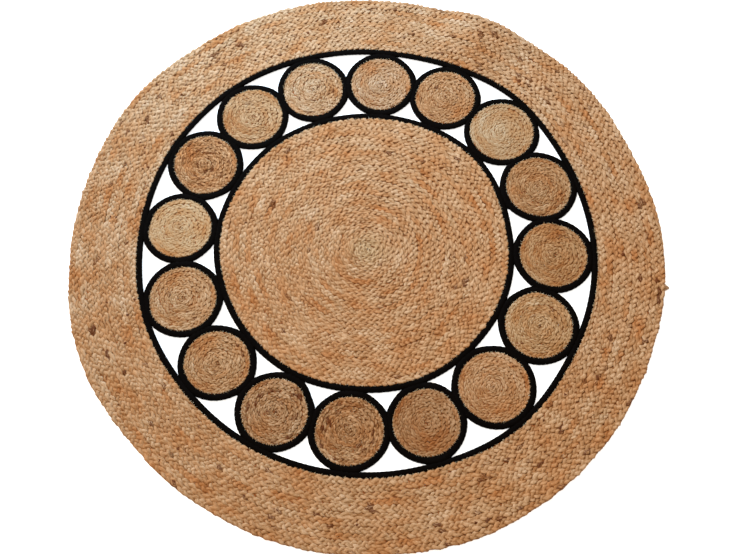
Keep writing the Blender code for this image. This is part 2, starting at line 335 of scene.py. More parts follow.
def map_strands(piece, points, along, closed=False):
    """Two UV maps for a mesh of tubes. `strand` is metres along and round each strand. OFBake
    lays the strands out side by side, cut into equal lengths, so that none covers another."""
    count, rings, corners = points.shape[:3]
    spans = rings if closed else rings - 1
    starts = along[:spans]
    ends = np.append(along[1:], 2 * along[-1] - along[-2])[:spans]
    offset = STRAND_APART * np.arange(count)[:, None, None]
    shape = (count, spans, corners)
    from_here = np.broadcast_to(offset + starts[:, None], shape)
    to_there = np.broadcast_to(offset + ends[:, None], shape)
    corner = np.broadcast_to(np.arange(corners), shape)
    quad_u = np.stack([from_here, from_here, to_there, to_there], axis=-1)
    girth = np.stack([corner, corner + 1, corner + 1, corner], axis=-1)
    quad_v = girth * (STRAND_GIRTH / corners)
    caps = 0 if closed else 2 * count
    round_cap = np.broadcast_to(round_corners(corners), (caps, corners))
    cap_u = offset[:1, :, 0] + CAP_RADIUS * np.cos(round_cap)
    cap_v = CAP_RADIUS * np.sin(round_cap)
    add_corner_map(piece, "strand", quad_u, quad_v, cap_u, cap_v)

    length = count * (along[-1] - along[0])
    lanes = max(int(np.sqrt(length / (LANE_SPACE * STRAND_GIRTH))), 1)
    lane_spans = -(-count * spans // lanes)
    lane, place = np.divmod(np.arange(count * spans).reshape(count, spans, 1), lane_spans)
    bake_u = np.stack([place, place, place + 1, place + 1], axis=-1) / lane_spans
    bake_u = np.broadcast_to(bake_u, quad_u.shape)
    up_lane = LANE_MARGIN + (1 - 2 * LANE_MARGIN) * girth / corners
    bake_v = (lane[..., None] + up_lane) / lanes
    bake_cap = CAP_PLACE + CAP_SHRINK * cap_v
    add_corner_map(piece, "OFBake", bake_u, bake_v, bake_cap, bake_cap)


def add_values(piece, name, values):
    """An attribute with a value for each point of a piece."""
    attribute = piece.data.attributes.new(name, "FLOAT", "POINT")
    attribute.data.foreach_set("value", values.astype(np.float32).ravel())


SPOT_MISS = 10 * MM  # farthest that the nearest lump may lie from a spot
NEAREST = 1.01  # times the nearest lump's distance, within which a lump counts as nearest
FLECK_SHARE = 0.003  # of a strand's lumps that have bark on by chance
FLECK_DARKNESS = (0.3, 0.7)


def add_lump_values(piece, turn, points, rng, fleck_share=0, spots=()):
    """Values that each lump of a strand has all over: `tint`, chance from 0 to 1, and `bark`,
    which is above 0 on a few lumps by chance and on those in a spot or nearest to it. A lump
    is half a turn, cut where the strand is underneath."""
    lump = np.floor((turn - np.pi / 4) / np.pi).astype(int)
    lump -= lump.min()
    lump += np.arange(len(turn))[:, None] * (lump.max() + 1)
    tint = rng.random(lump.max() + 1)
    bark = rng.random(lump.max() + 1) < fleck_share
    bark = bark * rng.uniform(*FLECK_DARKNESS, lump.max() + 1)
    size = np.maximum(np.bincount(lump.ravel()), 1)
    x, y = (np.bincount(lump.ravel(), points[..., i].mean(axis=2).ravel()) / size for i in (0, 1))
    for spot in spots:
        spot_x, spot_y = around(rug_middle, spot.azimuth, spot.distance * MM)
        apart = np.hypot(x - spot_x, y - spot_y)
        nearest = apart.min()
        if nearest < SPOT_MISS:
            bark[apart < max(spot.reach * MM, NEAREST * nearest)] = spot.dark
    for name, values in (("tint", tint), ("bark", bark)):
        add_values(piece, name, np.repeat(values[lump], points.shape[2], axis=1))


def node(tree, kind, inputs=(), stops=(), **settings):
    """Adds a shader node with its settings, its inputs by name or number, each a value or the
    output that feeds it, and a colour ramp's stops. Gives back its outputs."""
    added = tree.nodes.new("ShaderNode" + kind)
    for name, value in settings.items():
        setattr(added, name, value)
    for name, value in dict(inputs).items():
        if isinstance(value, bpy.types.NodeSocket):
            tree.links.new(value, added.inputs[name])
        else:
            added.inputs[name].default_value = value
    for number, (place, colour) in enumerate(stops):
        elements = added.color_ramp.elements
        stop = elements[number] if number < 2 else elements.new(place)
        stop.position = place
        stop.color = (*colour, 1)
    return added.outputs


# The sockets of a Mix node that mixes colours: its inputs, and its output.
MIX_SHARE, MIX_FIRST, MIX_SECOND, MIXED = 0, 6, 7, 2


def new_material(name):
    """An empty material, its tree and its shader's inputs."""
    material = bpy.data.materials.new(name)
    material.use_nodes = True
    tree = material.node_tree
    return material, tree, tree.nodes["Principled BSDF"].inputs


def finish(tree, shader, colour, relief, strength, depth, roughness, specular=0.5):
    """Gives a material its colour, its relief, with how strongly and how deeply it shows, its
    roughness and its shine."""
    tree.links.new(colour, shader["Base Color"])
    bump = {"Height": relief, "Strength": strength, "Distance": depth}
    tree.links.new(node(tree, "Bump", bump)["Normal"], shader["Normal"])
    shader["Roughness"].default_value = roughness
    shader["Specular IOR Level"].default_value = specular


PATCH_LENGTH = 45 * MM  # over which a strand keeps its shade
STREAK_LENGTH = 110 * MM  # over which all strands of a plait keep theirs
FIBRE_LENGTH = 5 * MM  # of the streaks along a strand
FIBRE_WIDTH = 1.2 * MM  # of a bunch of fibres: one fibre, 0.1 mm wide, wouldn't show
LOCK_LENGTH = 6 * MM  # of the locks of fibre that make up a strand
LOCK_WIDTH = 2.0 * MM
REGION_SIZE = 50 * MM  # of the paler and redder regions of a coil
FLECK_SPACING = 11 * MM  # between the small scraps of bark that might be there
FLECK_RADII = (0.12, 0.4)  # of the smallest and the largest of them, as shares of the spacing
FLECK_RAGGEDNESS = 0.25  # share of the spacing by which a lock draws a scrap's edge in
BARK_COVER = 0.9  # how far bark hides the jute
NOISE_RANGE = {"From Min": 0.28, "From Max": 0.72}  # beyond which noise seldom goes
REGION_RANGE = {"From Min": 0.3, "From Max": 0.7}
HEIGHT_RANGE = {"From Min": 0.15, "From Max": 0.85}
BARK_RANGE = {"From Min": 0.15, "From Max": 0.35}  # of a lump's bark times its locks

# Shades of jute, from rust to straw, as shares of the plain colour, with their places.
JUTE_SHADES = (
    (0.12, (0.88, 0.63, 0.42)),
    (0.35, (0.97, 0.87, 0.76)),
    (0.52, (1.0, 1.0, 1.0)),
    (0.70, (1.07, 1.16, 1.26)),
    (0.90, (1.13, 1.31, 1.56)),
)
STRAW_TINT = (1.0, 1.18, 1.28)  # of the greener straw that a plait may start with
STRAW_CORE = 0.25  # share of its reach within which it is plain
DARK_FIBRE_AND_SHADE_TINT = np.array((0.43, 0.27, 0.10))  # of fibre darker by chance, and the painted shade of fibre that lies deep
PALE_FIBRE_AND_HIGHLIGHT_TINT = np.array((1.50, 1.70, 2.10))  # of fibre paler by chance, and the painted highlight of fibre on a crest


def blend(tree, *shares_and_values):
    """The sum of a few outputs, each times its share, added to one half less half of every
    share, so that outputs that are one half on average give one half."""
    total = 0.5 - sum(share for share, _ in shares_and_values) / 2
    for share, value in shares_and_values:
        total = node(tree, "Math", {0: value, 1: share, 2: total}, operation="MULTIPLY_ADD")[0]
    return total


def stretched_noise(tree, place, length, width):
    """Noise over a strand's own map, drawn out along it, spread out to fill 0 to 1."""
    scale = (1 / length, 1 / width, 1)
    drawn = node(tree, "Mapping", {"Vector": place, "Scale": scale})["Vector"]
    noise = node(tree, "TexNoise", {"Vector": drawn, "Scale": 1, "Detail": 2})["Fac"]
    return node(tree, "MapRange", {"Value": noise, **NOISE_RANGE})[0]


def jute_shade(tree, strand, place, base, straw_reach):
    """The shade of the jute before light and shadow: from rust to straw along each strand,
    along the whole plait and from one region of a coil to the next, and the greener straw
    that a plait may start with."""
    patch = stretched_noise(tree, strand, PATCH_LENGTH, 4 * STRAND_GIRTH)
    cloud = {"Vector": place, "Scale": 1 / REGION_SIZE, "Detail": 3, "Roughness": 0.6}
    region = node(tree, "TexNoise", cloud)["Fac"]
    region = node(tree, "MapRange", {"Value": region, **REGION_RANGE})[0]
    run = node(tree, "SeparateXYZ", {"Vector": strand})["X"]
    run = node(tree, "Math", {0: run, 1: STRAND_APART}, operation="MODULO")[0]
    run = node(tree, "Math", {0: run, 1: STREAK_LENGTH}, operation="DIVIDE")[0]
    along = {"W": run, "Scale": 1, "Detail": 2}
    streak = node(tree, "TexNoise", along, noise_dimensions="1D")["Fac"]
    streak = node(tree, "MapRange", {"Value": streak, **NOISE_RANGE})[0]
    level = blend(tree, (0.30, patch), (0.40, region), (0.50, streak))
    stops = tuple((stop, base * share) for stop, share in JUTE_SHADES)
    shade = node(tree, "ValToRGB", {"Fac": level}, stops=stops)["Color"]
    if straw_reach is None:
        return shade
    from_middle = {0: place, 1: (*rug_middle, 0)}
    distance = node(tree, "VectorMath", from_middle, operation="DISTANCE")["Value"]
    fade = {"From Min": STRAW_CORE * straw_reach, "From Max": straw_reach}
    plain = node(tree, "MapRange", {"Value": distance, **fade})[0]
    straw = {MIX_SHARE: plain, MIX_FIRST: (*(base * STRAW_TINT), 1), MIX_SECOND: shade}
    return node(tree, "Mix", straw, data_type="RGBA")[MIXED]


def bark_scraps(tree, place, lock, fleck_share):
    """Where bark is left, from 0 to 1: in ragged round flecks, which a share of the cells of a
    pattern have, and on the locks of the lumps that have bark on."""
    cell = node(tree, "TexVoronoi", {"Vector": place, "Scale": 1 / FLECK_SPACING})
    chance = node(tree, "SeparateColor", {"Color": cell["Color"]})["Red"]
    chosen = node(tree, "Math", {0: chance, 1: 1 - fleck_share}, operation="GREATER_THAN")[0]
    sizes = {"From Min": 1 - fleck_share, "To Min": FLECK_RADII[0], "To Max": FLECK_RADII[1]}
    radius = node(tree, "MapRange", {"Value": chance, **sizes})[0]
    edge = {0: lock, 1: FLECK_RAGGEDNESS, 2: cell["Distance"]}
    edge = node(tree, "Math", edge, operation="MULTIPLY_ADD")[0]
    inside = node(tree, "Math", {0: edge, 1: radius}, operation="LESS_THAN")[0]
    fleck = node(tree, "Math", {0: inside, 1: chosen}, operation="MULTIPLY")[0]
    bark = node(tree, "Attribute", attribute_name="bark")["Fac"]
    bark = node(tree, "Math", {0: bark, 1: lock}, operation="MULTIPLY")[0]
    bark = node(tree, "MapRange", {"Value": bark, **BARK_RANGE})[0]
    return node(tree, "Math", {0: fleck, 1: bark}, operation="MAXIMUM")[0]


def jute(name, hex_colour, fleck_share=0.03, contrast=1.0, straw_reach=None):
    """Plaited jute, spun by hand from retted stalks: every strand changes shade along its length
    between straw, tan and rust, its locks and fibres are paler or darker by chance, with painted
    shade where they lie deep and a painted highlight on the crests, and here and there a scrap of
    dark bark is left. It has the faint shine of bast fibre."""
    material, tree, shader = new_material(name)
    strand = node(tree, "UVMap", uv_map="strand")["UV"]
    place = node(tree, "TexCoord")["Object"]
    shade = jute_shade(tree, strand, place, linear(hex_colour), straw_reach)

    fibre = stretched_noise(tree, strand, FIBRE_LENGTH, FIBRE_WIDTH)
    lock = stretched_noise(tree, strand, LOCK_LENGTH, LOCK_WIDTH)
    lump = node(tree, "Attribute", attribute_name="tint")["Fac"]
    # painted shade where a strand lies low and painted highlight on its crests, from `top`, blended
    # with the chance streaks of fibres and locks and each lump's chance tint
    top = node(tree, "Attribute", attribute_name="top")["Fac"]
    height = node(tree, "MapRange", {"Value": top, **HEIGHT_RANGE})[0]
    light = blend(tree, (0.62, fibre), (0.40, lock), (0.25, lump), (0.55, height))
    tints = ((0.0, DARK_FIBRE_AND_SHADE_TINT**contrast), (0.5, np.ones(3)), (1.0, PALE_FIBRE_AND_HIGHLIGHT_TINT**contrast))
    tint = node(tree, "ValToRGB", {"Fac": light}, stops=tints)["Color"]
    lit = {MIX_SHARE: 1.0, MIX_FIRST: shade, MIX_SECOND: tint}
    lit = node(tree, "Mix", lit, data_type="RGBA", blend_type="MULTIPLY")[MIXED]

    bark = bark_scraps(tree, place, lock, fleck_share)
    bark = node(tree, "Math", {0: bark, 1: BARK_COVER}, operation="MULTIPLY")[0]
    colour = {MIX_SHARE: bark, MIX_FIRST: lit, MIX_SECOND: (*linear("#5A2404"), 1)}
    colour = node(tree, "Mix", colour, data_type="RGBA")[MIXED]
    relief = blend(tree, (0.4, fibre), (0.6, lock))
    finish(tree, shader, colour, relief, 0.6, 0.7 * MM, roughness=0.6, specular=0.06)
    return material


WAVE_REPEAT = np.pi / 10  # metres in which a wave texture of scale 1 repeats
SCRIM_THREADS = np.pi / 0.8 * MM  # 3.93 mm from one thread to the next
SCRIM_BLOTCH = 25 * MM


def scrim(name, hex_colour):
    """Coarse jute scrim, woven plain of thick threads about 4 mm apart, uneven in shade. Its darker
    warm brown is painted shade, seen only through the gaps between the strands."""
    material, tree, shader = new_material(name)
    place = node(tree, "TexCoord")["Object"]
    threads = {"Vector": place, "Scale": WAVE_REPEAT / SCRIM_THREADS, "Distortion": 0.6}
    warp = node(tree, "TexWave", threads)["Fac"]
    weft = node(tree, "TexWave", threads, bands_direction="Y")["Fac"]
    weave = node(tree, "Math", {0: warp, 1: weft}, operation="MAXIMUM")[0]
    cloud = {"Vector": place, "Scale": 1 / SCRIM_BLOTCH, "Detail": 2}
    blotch = node(tree, "TexNoise", cloud)["Fac"]
    shade = node(tree, "Math", {0: weave, 1: blotch}, operation="MULTIPLY")[0]
    base = linear(hex_colour)
    stops = ((0.1, base * 0.55), (0.6, base * 1.25))
    colour = node(tree, "ValToRGB", {"Fac": shade}, stops=stops)["Color"]
    finish(tree, shader, colour, weave, 0.6, 0.4 * MM, roughness=0.95)
    return material


SCRIM_TOP = 4.8 * MM
SCRIM_BOTTOM = 3.2 * MM
SCRIM_HEM = 4.0 * MM  # that the scrim reaches past the plait, into the black cord


CENTRE_FIRST_ROW = 9.4 * MM  # width of the tightly coiled rows round the knot
CENTRE_GROWTH = 0.011  # that a row is wider for each metre that it lies farther out, in metres
CENTRE_END = 40  # azimuth where the centre's plait ends
CENTRE_TAPER = 30
CENTRE_COLOUR = "#B28258"
STRAW_REACH = 50 * MM  # over which the first plait's straw fades into the rest
CENTRE_PIECES = 2  # lengths of plait that the centre is made in

rug_middle = pole("centre_coil")

# Spots where bark was left on: azimuth and distance from the rug's middle, how far they reach,
# both in millimetres, and how dark they are.
Spot = namedtuple("Spot", "azimuth distance reach dark")
CENTRE_SPOTS = (
    Spot(314.7, 41, 0, 0.6),
    Spot(286, 106, 6, 0.6),
    Spot(357, 193, 6, 0.6),
    Spot(342, 210, 6, 0.6),
    Spot(155, 221, 6, 0.7),
    Spot(228, 239, 6, 0.6),
)


centre_rim = rims("centre_coil", rug_middle)[1]
centre_path = coil_path(
    rug_middle, centre_rim, CENTRE_FIRST_ROW, CENTRE_GROWTH, CENTRE_END, CENTRE_TAPER
)
centre_jute = jute("plaited_jute_centre", CENTRE_COLOUR, straw_reach=STRAW_REACH)
gap_shade_scrim = scrim("jute_scrim", "#9A5A2C")


EDGE_DEPTH = 0.15  # share of its height that a strand's edge counts as in `top`, which paints shade along the edges


def add_plait(
    name, path, kind, seed, material, replaced,
    lengths=1, fleck_share=FLECK_SHARE, spots=(), lift=None, closed=False,
):
    """A plait as one piece, or as several lengths of it, each riding on the rug and standing for
    the node that it replaces. Its value `top` goes from 0 under the plait and along the edges of
    its strands to 1 on their crests, and the jute's finish paints shade where it is low and a
    highlight where it is high."""
    rng = np.random.default_rng(seed)
    points, turn, along = plait(path, kind, rng, lift, closed)
    floor = lift(points[..., 0], points[..., 1]) if lift else 0
    crest = between((EDGE_DEPTH, 1), np.clip(kind.section[1], 0, 1))
    top = np.clip((points[..., 2] - floor) / kind.height, 0, 1) * crest
    cuts = np.linspace(0, points.shape[1] - 1, lengths + 1).astype(int)
    pieces = []
    for number, (first, last) in enumerate(zip(cuts, cuts[1:])):
        span = slice(first, last + 1)
        piece = tubes(f"{name}_{number + 1}" if lengths > 1 else name, points[:, span], closed)
        map_strands(piece, points[:, span], along[span], closed)
        add_lump_values(piece, turn[:, span], points[:, span], rng, fleck_share, spots)
        add_values(piece, "top", top[:, span])
        fit(piece, material, replaced)
        pieces.append(piece)
    return pieces


centre_plait = add_plait(
    "centre_plait", centre_path, THICK_PLAIT, 1, centre_jute, "centre_coil",
    lengths=CENTRE_PIECES, spots=CENTRE_SPOTS,
)


def add_scrim(name, middle, rim, corners):
    """The scrim under one coil: a closed disc between the strands' upper and lower halves, a ring
    of corners and a flat cap on each face."""
    azimuth = 360 * np.arange(corners) / corners
    x, y = around(middle, azimuth, rim(azimuth) + SCRIM_HEM)
    rings = [np.stack([x, y, np.full(corners, z)], axis=-1) for z in (SCRIM_BOTTOM, SCRIM_TOP)]
    # the sheet shows between the strands only as painted shade
    piece = tubes(name, np.array(rings)[None])
    fit(piece, gap_shade_scrim)
    reach = rim(np.arange(0, 360, 1.0)) + SCRIM_HEM


add_scrim("centre_scrim", rug_middle, centre_rim, 96)

# ---------------------------------------------------------------------------------------------
# The centre's edging. A cord of three black-dyed jute strands, plaited tighter and rounder than
# the jute, is sewn round the rim of the disc.

CORD_STRAND = Strand(
    2.3 * MM, 0.2, 0.4 * MM, (4.4 * MM, 4.0 * MM), (3.2 * MM, 3.3 * MM), 0.05
)
CORD_PLAIT = Plait(7.5 * MM, 29 * MM, 8, section_of(4), CORD_STRAND)
CORD_SQUEEZE = 2.8 * MM  # that a cord is wider than the gap it fills, its edges pressed in
CORD_SWELL = 2.6 * MM  # that thread thickens it by where it meets another
CORD_SWELL_SPAN = 23.0  # degrees from the middle of a swelling to where a third of it is left
CORE_CORNERS = 8
CORE_STEPS = 180
CORE_SHARE = 0.98  # of the cord's width and height, that its filling takes up
BLACK_PATCH = 60 * MM
BLACK_SHADES = ((0.10, "#080402"), (0.50, "#070403"), (0.90, "#0B0706"))


def black_jute(name):
    """Jute dyed black: all but matt, nearly black all over, with a faint brown cast where the
    dye took less, and fine fibres along each strand."""
    material, tree, shader = new_material(name)
    strand = node(tree, "UVMap", uv_map="strand")["UV"]
    patch = stretched_noise(tree, strand, BLACK_PATCH, 4 * STRAND_GIRTH)
    stops = tuple((stop, linear(shade)) for stop, shade in BLACK_SHADES)
    shade = node(tree, "ValToRGB", {"Fac": patch}, stops=stops)["Color"]
    fibre = stretched_noise(tree, strand, FIBRE_LENGTH, FIBRE_WIDTH)
    lit = node(tree, "MapRange", {"Value": fibre, "To Min": 0.6, "To Max": 1.4})[0]
    colour = {MIX_SHARE: 1.0, MIX_FIRST: shade, MIX_SECOND: lit}
    colour = node(tree, "Mix", colour, data_type="RGBA", blend_type="MULTIPLY")[MIXED]
    finish(tree, shader, colour, fibre, 0.4, 0.4 * MM, roughness=0.85, specular=0.04)
    return material


cord_black = black_jute("black_dyed_jute")


def swelling(azimuth, meets):
    """How much thicker thread makes a cord, in bell curves round the azimuths where it meets
    others."""
    turned = (azimuth[:, None] - np.array(meets) + 180) % 360 - 180
    return (CORD_SWELL * np.exp(-((turned / CORD_SWELL_SPAN) ** 2))).max(axis=1, initial=0)


def round_path(middle, near, far, meets):
    """A closed clockwise path midway between two rims, as wide as they are apart, and thicker
    outwards where it meets other cords, with a point every half degree."""
    azimuth = np.linspace(360, 0, 721)
    edge = far(azimuth) + swelling(azimuth, meets)
    distance = (near(azimuth) + edge) / 2
    width = edge - near(azimuth) + CORD_SQUEEZE
    return path_of(middle, azimuth, distance, width, 1.0)


def add_core(name, path):
    """The black filling that the strands are plaited round: a closed tube, an ellipse in
    section."""
    spread = slice(0, -1, len(path.along) // CORE_STEPS)
    here = Path(*(column[spread, None] for column in path))
    corner = round_corners(CORE_CORNERS)
    across = CORE_SHARE * here.width / 2 * np.cos(corner)
    up = CORD_PLAIT.height / 2 * (1 + CORE_SHARE * np.sin(corner)) * np.ones_like(across)
    points = np.stack([here.x + here.out_x * across, here.y + here.out_y * across, up], axis=-1)
    core = tubes(name, points[None], closed=True)
    map_strands(core, points[None], here.along[:, 0], closed=True)
    return core


def add_cord(name, edging, middle, seed, meets=()):
    """The black cord that stands for an edging's node, with the filling that it is plaited
    round."""
    near, far = rims(edging, middle)
    path = round_path(middle, near, far, meets)
    fit(add_core(name + "_core", path), cord_black, edging)
    add_plait(name, path, CORD_PLAIT, seed, cord_black, edging, closed=True)


add_cord("centre_cord", "centre_edging", rug_middle, 2)

# ---------------------------------------------------------------------------------------------
# The sixteen small discs. Each is a finer plait, coiled and sewn as the centre is, and each was
# made from its own bundle of jute, so that no two have the same shade.

FINE_ROW = 8.3 * MM
FINE_GROWTH = 0.004
FINE_STRAND = JUTE_STRAND._replace(
    climb=1.2 * MM, half_widths=(5.6 * MM, 3.6 * MM), half_heights=(2.5 * MM, 2.4 * MM)
)
FINE_PLAIT = Plait(7.4 * MM, 31.5 * MM, 8, section_of(4), FINE_STRAND)
DISC_TAPER = 25
DISC_SCRIM_CORNERS = 48
DISC_SEED, DISC_CORD_SEED = 100, 200  # to which the disc's number is added

# Where the plait ends, its shade, how much light and dark its fibres have, painted shade and
# highlight among them, as a share of the ring's, and the share of its lumps that have bark on.
Disc = namedtuple("Disc", "plait_end colour contrast bark")
DISCS = (
    Disc(100, "#9E7046", 1.25, 0.01),
    Disc(295, "#9A6C43", 1.45, 0.01),
    Disc(160, "#B79069", 0.3, 0.0),
    Disc(185, "#A47349", 1.25, 0.03),
    Disc(355, "#A87C55", 1.2, 0.02),
    Disc(220, "#A87D55", 1.35, 0.02),
    Disc(45, "#AA7D53", 1.05, 0.01),
    Disc(255, "#8F5D33", 2.2, 0.06),
    Disc(200, "#BF976E", 0.28, 0.0),
    Disc(215, "#A77A51", 1.25, 0.02),
    Disc(325, "#9F7249", 1.5, 0.01),
    Disc(50, "#90643D", 1.9, 0.06),
    Disc(200, "#8E6038", 2.0, 0.05),
    Disc(65, "#966841", 1.25, 0.0),
    Disc(270, "#A6774E", 1.25, 0.0),
    Disc(90, "#A2774D", 1.4, 0.01),
)

DISC_SPOTS = (
    Spot(236.6, 372, 5, 1.0),
    Spot(237.1, 386, 4, 0.8),
    Spot(238.7, 344, 5, 0.8),
    Spot(247.5, 330, 6, 1.0),
    Spot(249.2, 372, 5, 0.6),
    Spot(247.0, 429, 5, 0.5),
    Spot(235.9, 344, 4, 0.6),
    Spot(258.8, 379, 6, 1.0),
    Spot(259.4, 362, 6, 0.8),
    Spot(272.7, 374, 5, 0.9),
    Spot(265.4, 319, 5, 0.5),
    Spot(261.2, 341, 5, 0.5),
    Spot(153.5, 379, 5, 0.9),
    Spot(152.9, 401, 5, 0.8),
    Spot(151.8, 369, 4, 0.7),
    Spot(149.1, 396, 4, 0.5),
    Spot(158.3, 376, 4, 0.5),
)

disc_middles = [pole(f"disc_{number:02d}_coil") for number in range(1, len(DISCS) + 1)]


def bearing(start, end):
    """The azimuth in which one point lies from another."""
    return np.degrees(np.arctan2(end[1] - start[1], end[0] - start[0]))


def meeting_azimuths(index):
    """Where a disc meets the next one, the ring, the centre and the disc before it."""
    middle = disc_middles[index]
    after = disc_middles[(index + 1) % len(disc_middles)]
    inwards = bearing(middle, rug_middle)
    before = disc_middles[index - 1]
    return bearing(middle, after), inwards + 180, inwards, bearing(middle, before)


for number, disc in enumerate(DISCS, start=1):
    label = f"disc_{number:02d}"
    middle = disc_middles[number - 1]
    rim = rims(label + "_coil", middle)[1]
    path = coil_path(middle, rim, FINE_ROW, FINE_GROWTH, disc.plait_end, DISC_TAPER)
    disc_jute = jute("plaited_jute_" + label, disc.colour, contrast=disc.contrast)
    pieces = add_plait(
        label + "_plait", path, FINE_PLAIT, DISC_SEED + number, disc_jute,
        label + "_coil", fleck_share=disc.bark, spots=DISC_SPOTS,
    )
    add_scrim(label + "_scrim", middle, rim, DISC_SCRIM_CORNERS)
    meets = meeting_azimuths(number - 1)
    add_cord(label + "_cord", label + "_edging", middle, DISC_CORD_SEED + number, meets)

# ---------------------------------------------------------------------------------------------
# The outer ring: eleven turns of the thick plait, with a black cord inside it that the small
# discs are sewn to. At the upper right the ring has buckled, and lies in a fold off the floor.

add_cord("ring_cord", "ring_edging", rug_middle, 3)

RING_ROWS = 11
RING_END = 353  # azimuth where the ring's plait ends
RING_TAPER = 25  # degrees over which it tapers before that
RING_START = 60  # degrees, from the start of the taper, over which the first turn gains width
RING_COLOUR = "#AF8158"
RING_PIECES = 3
BUCKLE_AZIMUTH = 67.0
BUCKLE_HEIGHT = 14.0 * MM
BUCKLE_BEFORE = 15.0  # degrees from the crest to the flat, clockwise of it
BUCKLE_AFTER = 10.0  # and anticlockwise of it
BUCKLE_START = 462.0 * MM  # distance from the middle where the fold leaves the floor
BUCKLE_FULL = 540.0 * MM  # and where it is as high as it gets
RING_STEP = 0.0008  # turns from one point of the plait's middle line to the next
RING_START_PLACE = 0.03  # turns after the start of its taper, where the plait begins
RING_END_PLACE = 0.004  # turns before the end of its taper, where it ends
RING_LEAST_WIDTH = 0.2  # of a row, at the plait's two tapered ends
RING_LEAST_HEIGHT = 0.4
RING_FLECK_SHARE = 0.02  # of its lumps that have bark on by chance


def buckle(x, y):
    """How far the ring lies above the floor: a cosine arch across the fold, which grows from
    the hole outwards."""
    x, y = x - rug_middle[0], y - rug_middle[1]
    from_crest = (np.degrees(np.arctan2(y, x)) - BUCKLE_AZIMUTH + 180) % 360 - 180
    width = np.where(from_crest > 0, BUCKLE_AFTER, BUCKLE_BEFORE)
    arch = np.cos(np.pi / 2 * np.clip(from_crest / width, -1, 1)) ** 2
    outward = (np.hypot(x, y) - BUCKLE_START) / (BUCKLE_FULL - BUCKLE_START)
    return BUCKLE_HEIGHT * arch * eased(outward)


ring_near, ring_far = rims("outer_ring", rug_middle)
RING_SPOTS = (
    Spot(352.8, 596, 5, 1.0),
    Spot(351.3, 591, 5.5, 1.0),
    Spot(11.6, 572, 5.5, 0.7),
    Spot(44.5, 540, 5, 0.7),
    Spot(49.0, 522, 5, 0.6),
    Spot(210, 536, 6, 1.0),
    Spot(199, 567, 7, 1.0),
    Spot(205, 544, 5.5, 0.9),
    Spot(247, 547, 5.5, 0.8),
    Spot(121, 553, 5.5, 0.8),
    Spot(101, 547, 5.5, 0.7),
    Spot(149, 554, 5.5, 0.7),
    Spot(143, 566, 5.5, 0.6),
    Spot(127, 564, 5.5, 0.5),
    Spot(184, 543, 5.5, 0.6),
    Spot(65, 557, 5.5, 0.8),
    Spot(62, 574, 6, 0.6),
    Spot(1, 518, 5.5, 0.8),
    Spot(355, 553, 5.5, 0.8),
    Spot(308, 547, 5.5, 0.9),
    Spot(316, 519, 5.5, 0.9),
    Spot(285, 567, 5.5, 0.8),
    Spot(272, 515, 5.5, 0.7),
    Spot(294, 578, 5.5, 1.0),
    Spot(354.6, 586, 5, 1.0),
    Spot(342, 577, 6, 0.7),
    Spot(12, 580, 5.5, 0.6),
)


def ring_path():
    """The middle line of the ring's plait. Every turn hugs the hole and the rim alike, and
    moves out by one row where the last turn tapers away and the first gains its width: there
    the rows are a first one of width `gained`, ten whole ones, and a last one of width
    `left`."""
    last_place = RING_ROWS + RING_TAPER / 360 - RING_END_PLACE
    turn = np.arange(RING_START_PLACE, last_place, RING_STEP)
    turns_done, share = np.divmod(turn, 1)
    gained = eased(share * 360 / RING_START)
    left = 1 - eased(share * 360 / RING_TAPER)
    rows = RING_ROWS - 1 + gained + left
    first, last = turns_done == 0, turns_done == RING_ROWS
    place = np.where(first, gained / 2, turns_done - 0.5 + gained)
    place = np.where(last, RING_ROWS - 1 + gained + left / 2, place)
    azimuth = RING_END + RING_TAPER - 360 * turn
    near = ring_near(azimuth) + OVERHANG * PLAIT_ROW
    far = ring_far(azimuth) - OVERHANG * PLAIT_ROW
    row = (far - near) / rows
    part = np.where(first, gained, np.where(last, left, 1))
    part = np.maximum(part, RING_LEAST_WIDTH)
    distance = near + row * place
    fullness = between((RING_LEAST_HEIGHT, 1), part)
    return path_of(rug_middle, azimuth, distance, row * part, fullness)


ring_jute = jute("plaited_jute_ring", RING_COLOUR, fleck_share=0.09, contrast=1.08)
ring_pieces = add_plait(
    "ring_plait", ring_path(), THICK_PLAIT, 4, ring_jute, "outer_ring",
    lengths=RING_PIECES, fleck_share=RING_FLECK_SHARE, spots=RING_SPOTS, lift=buckle,
)

RING_SCRIM_CORNERS = 256
RING_SCRIM_SPANS = 5  # that it is cut into from the hole to the rim, to follow the fold
RING_SCRIM_MARGIN = 3.0 * MM  # from its edge to the ring's outer rim


def add_ring_scrim():
    """The scrim under the ring, which shows between the strands only as painted shade: a closed
    band, its upper face out from the hole and its lower face back, which follows the fold."""
    azimuth = 360 * np.arange(RING_SCRIM_CORNERS) / RING_SCRIM_CORNERS
    inside = ring_near(azimuth) - SCRIM_HEM
    outside = ring_far(azimuth) - RING_SCRIM_MARGIN
    outwards = np.linspace(0, 1, RING_SCRIM_SPANS + 1)
    share = np.concatenate([outwards, outwards[::-1]])
    level = np.repeat([SCRIM_TOP, SCRIM_BOTTOM], len(outwards))
    distance = between((inside[:, None], outside[:, None]), share)
    x, y = around(rug_middle, azimuth[:, None], distance)
    points = np.stack([x, y, buckle(x, y) + level], axis=-1)
    piece = tubes("ring_scrim", points[None], closed=True)
    fit(piece, gap_shade_scrim)


add_ring_scrim()

# ---------------------------------------------------------------------------------------------
# The lashings: where a disc's cord meets its neighbours', the centre's or the ring's, black
# thread is wound round both and pulled tight, which fills the corner between them.

